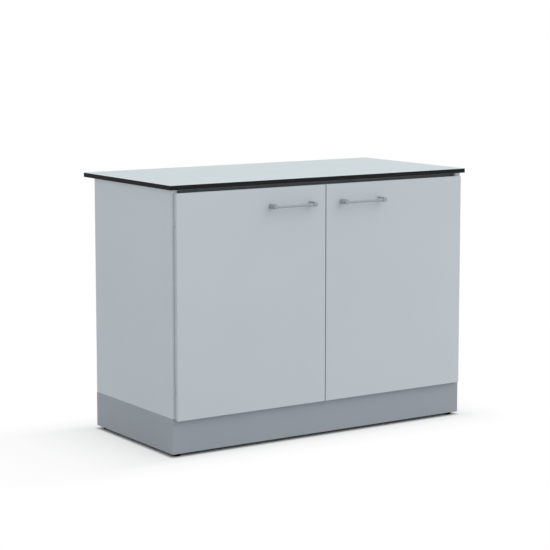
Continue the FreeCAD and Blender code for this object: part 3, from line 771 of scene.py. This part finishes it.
class BENCH_OT_handles(BenchOperator, bpy.types.Operator):
    """Adds both bow handles: hollow posts open towards a round grip set low between them"""

    bl_idname = "bench.handles"
    bl_label = "Handles"

    def execute(self, context):
        for side in SIDES:
            self.handle(side)
            self.sleeves(side)
        return {"FINISHED"}

    def post(self, x, z, back, front, radius, core, inward):
        """One post, its axis from the door outwards, with a boss as thick as its sleeve."""
        s = sizes()
        reach = back - front
        rim = arc(radius - s.post_round, reach - s.post_round, s.post_round, 0, 90, 5)
        profile = [(0, 0), (radius, 0), *rim, (0, reach)]
        shell = turned("post", profile, (x, back, z), FRONT, ROUND_STEPS)
        depth = reach - s.post_front
        half = radius - s.post_wall
        hollow = round_bar("hollow", (x, back + MM, z), (x, back - depth, z), half)
        span = sorted((x, x + inward * (radius + MM)))
        window = box("window", (span[0], back - depth, z - half), (span[1], back + MM, z + half))
        combine(shell, [hollow, window], "DIFFERENCE")
        tip = back - s.sleeve_length
        boss = round_bar("boss", (x, tip, z), (x, front + s.post_front / 2, z), core)
        return combine(shell, [boss], "UNION")

    def handle(self, side):
        s = sizes()
        low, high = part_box(f"door_{side}_handle")
        radius = (high.z - low.z) / 2
        z = (high.z + low.z) / 2
        left, right = low.x + radius, high.x - radius
        sleeve_low, sleeve_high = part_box(f"door_{side}_handle_sleeves")
        core = (sleeve_high.z - sleeve_low.z) / 2
        bow = self.post(left, z, high.y, low.y, radius, core, 1)
        other = self.post(right, z, high.y, low.y, radius, core, -1)
        grip_y, grip_z = low.y + s.grip_setback, z - s.grip_drop
        grip = round_bar("grip", (left, grip_y, grip_z), (right, grip_y, grip_z), s.grip_radius)
        combine(bow, [other, grip], "UNION")
        apply_modifier(
            bow,
            "BEVEL",
            width=s.handle_ease,
            segments=2,
            limit_method="ANGLE",
            angle_limit=math.radians(40),
            use_clamp_overlap=True,
        )
        smooth(bow, 40)
        bow.name = bow.data.name = f"door_{side}_bow_handle"
        dress(bow, f"door_{side}", "handle_plastic", f"door_{side}_handle")

    def sleeves(self, side):
        """The bright sleeves inside the posts, each with a spigot in its post's boss."""
        s = sizes()
        pieces = []
        for low, high in solids_of(f"door_{side}_handle_sleeves"):
            centre, reach = (low + high) / 2, high.y - low.y
            radius, end, bevel = (high.z - low.z) / 2, s.sleeve_length, s.sleeve_bevel
            profile = [(0, 0), (radius, 0), (radius, end - bevel), (radius - bevel, end)]
            profile += [(s.spigot_radius, end), (s.spigot_radius, reach), (0, reach)]
            seat = (centre.x, high.y, centre.z)
            pieces.append(smooth(turned("sleeve", profile, seat, FRONT, ROUND_STEPS)))
        sleeves = gathered(f"door_{side}_round_sleeves", pieces)
        dress(sleeves, f"door_{side}", "sleeve_steel", f"door_{side}_handle_sleeves")


def recessed(piece, bottom, top, seat, along):
    """Cuts a cross recess into a screw that stands at the origin, then turns it into its place."""
    s = sizes()
    half, slot = s.recess_span / 2, s.recess_slot / 2
    arms = [box("arm", (-a, -b, bottom), (a, b, top)) for a, b in ((half, slot), (slot, half))]
    combine(piece, arms, "DIFFERENCE")
    piece.rotation_euler = Vector(along).to_track_quat("Z", "Y").to_euler()
    piece.location = seat
    return smooth(settle(piece))


def pan_screw(seat, along, shank, radius, head, height):
    """A pan-head screw, its head on the seat and its shank behind."""
    crown, recess = height * 0.55, height * 0.6
    profile = [(0, -shank), (radius * 0.6, -shank), (radius, -shank + radius * 0.5)]
    profile += [(radius, 0), (head, 0), *dome(head, height - crown, crown), (0, height)]
    made = turned("screw", profile, (0, 0, 0), UP)
    return recessed(made, height - recess, height + MM, seat, along)


class BENCH_OT_fasteners(BenchOperator, bpy.types.Operator):
    """Adds the screws and rivets with round heads"""

    bl_idname = "bench.fasteners"
    bl_label = "Screws and rivets"

    def execute(self, context):
        s = sizes()
        self.pan_screws("worktop_screws", "worktop", "cabinet", DOWN, s.wide_shank, s.worktop_head)
        self.pan_screws("catch_screws", "catch", "cabinet", DOWN, s.shank_radius, s.small_head)
        for side in SIDES:
            door = f"door_{side}"
            handle = f"{door}_handle"
            self.pan_screws(f"{handle}_screws", handle, door, BACK, s.shank_radius, s.small_head)
        self.countersunk()
        self.rivets()
        return {"FINISHED"}

    def pan_screws(self, node, name, body, along, radius, height):
        """One screw on a node's first solid, with that solid's head and length, then copies."""
        axis = [abs(part) for part in along].index(1)
        tips = []
        for low, high in solids_of(node):
            tip = (low + high) / 2
            tip[axis] = high[axis] if along[axis] > 0 else low[axis]
            if not tips:
                span, seat = high - low, tip - Vector(along) * height
                head, shank = min(span) / 2, span[axis] - height
            tips.append(tip)
        master = pan_screw(seat, along, shank, radius, head, height)
        pieces = [master] + [copied(master, tip - tips[0]) for tip in tips[1:]]
        dress(gathered(f"{name}_pan_screws", pieces), body, "zinc_plated_steel", node)

    def countersunk(self):
        """Hinge screws, flush with the side walls' front edges."""
        s = sizes()
        shank, pieces = s.shank_radius, []
        for low, high in solids_of("hinge_screws"):
            centre = (low + high) / 2
            seat = Vector((centre.x, low.y, centre.z))
            if pieces:
                pieces.append(copied(pieces[0], seat - first))
                continue
            first = seat
            head, reach = (high.z - low.z) / 2, high.y - low.y
            profile = [(0, -reach), (shank / 2, -reach), (shank, MM - reach)]
            profile += [(shank, shank - head), (head, 0), (0, 0)]
            master = turned("hinge_screw", profile, (0, 0, 0), UP)
            pieces.append(recessed(master, -s.flush_recess, MM, seat, FRONT))
        screws = gathered("hinge_flush_screws", pieces)
        dress(screws, "cabinet", "zinc_plated_steel", "hinge_screws")

    def rivets(self):
        """Blind rivets through the rails' tabs, domed heads towards the cupboard."""
        s = sizes()
        shank, height = s.shank_radius, s.rivet_dome
        pieces, masters = [], {}
        for low, high in solids_of("carcass_rivets"):
            centre = (low + high) / 2
            hand = 1 if centre.x < 0 else -1
            tip = Vector((high.x if hand > 0 else low.x, centre.y, centre.z))
            if hand in masters:
                master, first = masters[hand]
                pieces.append(copied(master, tip - first))
                continue
            head, end = (high.z - low.z) / 2, height - (high.x - low.x)
            pit = height * 0.4
            profile = [(0, end), (shank, end), (shank, 0), *dome(head, 0, height)]
            profile += [(shank * 0.55, height), (shank * 0.5, pit), (0, pit)]
            seat = tip - Vector((hand * height, 0, 0))
            masters[hand] = (smooth(turned("rivet", profile, seat, (hand, 0, 0))), tip)
            pieces.append(masters[hand][0])
        rivets = gathered("rail_rivets", pieces)
        dress(rivets, "cabinet", "zinc_plated_steel", "carcass_rivets")


class BENCH_OT_feet(BenchOperator, bpy.types.Operator):
    """Adds the levelling feet: moulded pads on threaded studs"""

    bl_idname = "bench.feet"
    bl_label = "Levelling feet"

    def execute(self, context):
        s = sizes()
        for corner in CORNERS:
            low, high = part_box(f"foot_pad_{corner}")
            stud_low, stud_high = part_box(f"foot_stud_{corner}")
            centre = (stud_low + stud_high) / 2
            radius, top, seat = (high.x - low.x) / 2, high.z, stud_low.z
            hollow, edge, upper = s.sole_hollow, s.pad_round, s.pad_shoulder
            sole = arc(radius - edge, edge, edge, -90, 0, 5)
            shoulder = arc(radius - upper, top - upper, upper, 0, 90, 6)
            collar = s.stud_radius + s.stud_play
            profile = [(0, hollow), (radius * 0.55, hollow), (radius * 0.60, 0), *sole]
            profile += [*shoulder, (collar, top), (collar, seat), (0, seat)]
            place = (centre.x, centre.y, 0)
            pad = smooth(turned(f"foot_disc_{corner}", profile, place, UP, PAD_STEPS))
            body = f"foot_{corner}"
            dress(pad, body, "foot_plastic", f"foot_pad_{corner}")
            self.stud(corner, body, centre, stud_low.z, stud_high.z)
        return {"FINISHED"}

    def stud(self, corner, body, centre, low, high):
        """Threaded stud, its thread drawn as a run of ridges."""
        s = sizes()
        outside, root = s.stud_radius, s.stud_radius - s.thread_depth
        plain, pitch, tip = s.thread_start, s.thread_pitch, high - low
        turns = int((tip - plain - s.thread_depth) / pitch)
        profile = [(0, 0), (outside, 0), (outside, plain - pitch / 2)]
        for i in range(turns):
            height = plain + i * pitch
            profile += [(root, height), (outside, height + pitch / 2)]
        profile += [(root, plain + turns * pitch), (root, tip), (0, tip)]
        stud = turned(f"foot_screw_{corner}", profile, (centre.x, centre.y, low), UP)
        dress(smooth(stud, 25), body, "zinc_plated_steel", f"foot_stud_{corner}")


class BENCH_OT_hinge_pins(BenchOperator, bpy.types.Operator):
    """Adds the hinge pins with small domed heads"""

    bl_idname = "bench.hinge_pins"
    bl_label = "Hinge pins"

    def execute(self, context):
        s = sizes()
        for side in SIDES:
            pins = []
            for low, high in solids_of(f"door_{side}_hinge_pins"):
                centre, radius = (low + high) / 2, s.pin_radius
                head, tall = (high.y - low.y) / 2, high.z - low.z - s.pin_head
                profile = [(0, 0), (radius - s.pin_chamfer, 0), (radius, s.pin_chamfer)]
                profile += [(radius, tall), *dome(head, tall, s.pin_head), (0, tall + s.pin_head)]
                seat = (centre.x, centre.y, low.z)
                pins.append(smooth(turned("pin", profile, seat, UP)))
            pair = gathered(f"door_{side}_round_pins", pins)
            dress(pair, f"door_{side}", "pin_steel", f"door_{side}_hinge_pins")
        return {"FINISHED"}


class BENCH_OT_bumpers(BenchOperator, bpy.types.Operator):
    """Adds the soft bumpers behind the doors, domed on their free side"""

    bl_idname = "bench.bumpers"
    bl_label = "Bumpers"

    def execute(self, context):
        for side in SIDES:
            discs = []
            for low, high in solids_of(f"door_{side}_bumpers"):
                centre = (low + high) / 2
                radius, tall = (high.z - low.z) / 2, high.y - low.y
                base = 0.4 * tall
                profile = [(0, 0), (radius, 0), *dome(radius, base, tall - base), (0, tall)]
                seat = (centre.x, low.y, centre.z)
                discs.append(smooth(turned("bumper", profile, seat, BACK)))
            bumpers = gathered(f"door_{side}_soft_bumpers", discs)
            dress(bumpers, f"door_{side}", "bumper_rubber", f"door_{side}_bumpers")
        return {"FINISHED"}


# Share of plain white in the floor at a distance from the plinth, in metres. The white share is
# low near the plinth, so the floor there is greyer than its light alone makes it: painted shade on
# top of the bench's real shadow
FLOOR_FADE = [
    (0.0, 0.0),
    (0.010, 0.60),
    (0.024, 0.68),
    (0.052, 0.79),
    (0.080, 0.88),
    (0.180, 0.99),
    (0.350, 1.0),
]
SEEN_BY = ("Is Camera Ray", "Is Glossy Ray", "Is Transmission Ray")
LIGHT_FROM = Vector((0.50, -0.62, 0.60)).normalized()  # where the soft light is strongest
SOFT_LIGHT = (0.985, 0.995, 1.0, 1.0)
LAMP_LIGHT = (1.0, 0.995, 0.985)
LAMP_PLACE, LAMP_SIZE = (2.9, -4.2, 4.6), 4.5
LAMP_AIM = (0, 0, 0.5)
CAMERA_PLACE = (-3.5298, -5.2956, 1.4414)
CAMERA_TILT, CAMERA_TURN = math.radians(82.879), math.radians(-33.529)
CAMERA_LENS, CAMERA_SENSOR, CAMERA_SHIFT = 118.437, 36.0, -0.06
FLOOR_SIZE, FAR_CLIP = 60.0, 200.0
EDGE_SHADE = 0.010  # the fade is as quick on every side within this distance
# On the left the painted shade on the floor reaches further out than on the other sides.
LEFT_FADE = 0.25  # and past it the floor stays darker for longer on the left


class BENCH_OT_stage(BenchOperator, bpy.types.Operator):
    """Sets up the floor, the lights, the background and the camera"""

    bl_idname = "bench.stage"
    bl_label = "Stage"

    def execute(self, context):
        scene = context.scene
        look = scene.bench_look
        scene.view_settings.view_transform = "Standard"
        deselect_all()
        bpy.ops.mesh.primitive_plane_add(size=FLOOR_SIZE, location=(0, 0, 0))
        floor = added("floor")
        floor.data.materials.append(self.floor_finish(look.floor_tone))
        self.world(scene, look.ambient, look.slope)
        self.lamp(look.key_power)
        self.camera(scene)
        return {"FINISHED"}

    def floor_finish(self, tone):
        """Pale floor that takes the bench's shadow and fades to the white background; near the
        plinth it also carries painted shade.
        """
        finish = Finish("studio_floor")
        tree = finish.tree
        low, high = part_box("plinth_left")[0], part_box("plinth_right")[1]
        centre, half = (low + high) / 2, (high - low) / 2
        x, y = finish.several("ShaderNodeSeparateXYZ", {0: finish.place}, (0, 1))
        x, y = x - centre.x, y - centre.y
        past_left = (x * -1.0 - half.x).max(0.0)
        past_left = past_left - (past_left - EDGE_SHADE).max(0.0) * (1.0 - LEFT_FADE)
        past_x = past_left + (x - half.x).max(0.0)
        past_y = (y.abs() - half.y).max(0.0)
        distance = (past_x * past_x + past_y * past_y) ** 0.5
        # Less white near the plinth: this paints shade onto the floor there.
        far = finish.ramp(distance, FLOOR_FADE)
        camera, glossy, clear = finish.several("ShaderNodeLightPath", {}, SEEN_BY)
        seen = camera.max(glossy).max(clear)
        tint = (tone, tone, tone)
        finish.set(
            Base_Color=finish.mixed(finish.noise(3.0, 2.0) * 0.02, tint, toned(tint, 0.9)),
            Roughness=0.9,
            Specular_IOR_Level=0.0,
        )
        white = finish.node("ShaderNodeEmission", {}, {"Color": (1.0, 1.0, 1.0), "Strength": 1.0})
        plain = Value(finish, finish.surface.outputs[0])
        shader = finish.node("ShaderNodeMixShader", {}, {0: far * seen, 1: plain, 2: white})
        tree.links.new(shader.socket, tree.nodes["Material Output"].inputs["Surface"])
        return finish.material

    def world(self, scene, ambient, slope):
        """White to the camera and to reflections, soft light to everything else."""
        world = bpy.data.worlds.new("studio")
        world.use_nodes = True
        scene.world = world
        tree = world.node_tree
        tree.nodes.clear()
        out = tree.nodes.new("ShaderNodeOutputWorld")
        paths = tree.nodes.new("ShaderNodeLightPath")
        soft, white = (tree.nodes.new("ShaderNodeBackground") for i in range(2))
        soft.inputs["Color"].default_value = SOFT_LIGHT
        towards = tree.nodes.new("ShaderNodeVectorMath")
        towards.operation = "DOT_PRODUCT"
        towards.inputs[1].default_value = LIGHT_FROM
        place = tree.nodes.new("ShaderNodeTexCoord")
        tree.links.new(place.outputs["Generated"], towards.inputs[0])
        level = tree.nodes.new("ShaderNodeMath")
        level.operation = "MULTIPLY_ADD"
        level.inputs[1].default_value, level.inputs[2].default_value = slope, ambient
        tree.links.new(towards.outputs["Value"], level.inputs[0])
        tree.links.new(level.outputs[0], soft.inputs["Strength"])
        white.inputs["Color"].default_value = (1.0, 1.0, 1.0, 1.0)
        mask = paths.outputs[SEEN_BY[0]]
        for name in SEEN_BY[1:]:
            either = tree.nodes.new("ShaderNodeMath")
            either.operation = "MAXIMUM"
            tree.links.new(mask, either.inputs[0])
            tree.links.new(paths.outputs[name], either.inputs[1])
            mask = either.outputs[0]
        mix = tree.nodes.new("ShaderNodeMixShader")
        tree.links.new(mask, mix.inputs[0])
        tree.links.new(soft.outputs[0], mix.inputs[1])
        tree.links.new(white.outputs[0], mix.inputs[2])
        tree.links.new(mix.outputs[0], out.inputs["Surface"])

    def lamp(self, power):
        """A square soft lamp aimed at the bench's middle."""
        bpy.ops.object.light_add(type="AREA", location=LAMP_PLACE)
        lamp = bpy.context.object
        lamp.name = "key_light"
        lamp.data.shape = "SQUARE"
        lamp.data.size = LAMP_SIZE
        lamp.data.energy = power
        lamp.data.color = LAMP_LIGHT
        aim = Vector(LAMP_AIM) - Vector(LAMP_PLACE)
        lamp.rotation_euler = aim.to_track_quat("-Z", "Y").to_euler()

    def camera(self, scene):
        """The camera, in front and to the left, at about the worktop's height."""
        bpy.ops.object.camera_add(location=CAMERA_PLACE)
        camera = bpy.context.object
        camera.name = "camera"
        camera.rotation_euler = (CAMERA_TILT, 0, CAMERA_TURN)
        camera.data.sensor_width = CAMERA_SENSOR
        camera.data.lens = CAMERA_LENS
        camera.data.shift_y = CAMERA_SHIFT
        camera.data.clip_end = FAR_CLIP
        scene.camera = camera


OPERATORS = (
    BENCH_OT_stage,
    BENCH_OT_finishes,
    BENCH_OT_worktop,
    BENCH_OT_doors,
    BENCH_OT_handles,
    BENCH_OT_fasteners,
    BENCH_OT_feet,
    BENCH_OT_hinge_pins,
    BENCH_OT_bumpers,
)


class BENCH_PT_panel(bpy.types.Panel):
    """Lists the bench's operators, sizes and colours"""

    bl_label = "Laboratory bench"
    bl_idname = "BENCH_PT_panel"
    bl_space_type = "VIEW_3D"
    bl_region_type = "UI"
    bl_category = "Bench"

    def draw(self, context):
        for operator in OPERATORS:
            self.layout.operator(operator.bl_idname)
        for settings in ("bench_sizes", "bench_colours", "bench_look"):
            group = getattr(context.scene, settings)
            column = self.layout.column(align=True)
            for key in group.__annotations__:
                column.prop(group, key)


GROUPS = {"bench_sizes": BenchSizes, "bench_colours": BenchColours, "bench_look": BenchLook}


def register():
    for group in (*GROUPS.values(), *OPERATORS, BENCH_PT_panel):
        bpy.utils.register_class(group)
    for name, group in GROUPS.items():
        setattr(bpy.types.Scene, name, bpy.props.PointerProperty(type=group))


def unregister():
    for name in GROUPS:
        delattr(bpy.types.Scene, name)
    for group in (BENCH_PT_panel, *reversed(OPERATORS), *reversed(GROUPS.values())):
        bpy.utils.unregister_class(group)


def main():
    register()
    for operator in OPERATORS:
        name = operator.bl_idname.split(".")[1]
        getattr(bpy.ops.bench, name)()


if __name__ == "__main__":
    main()
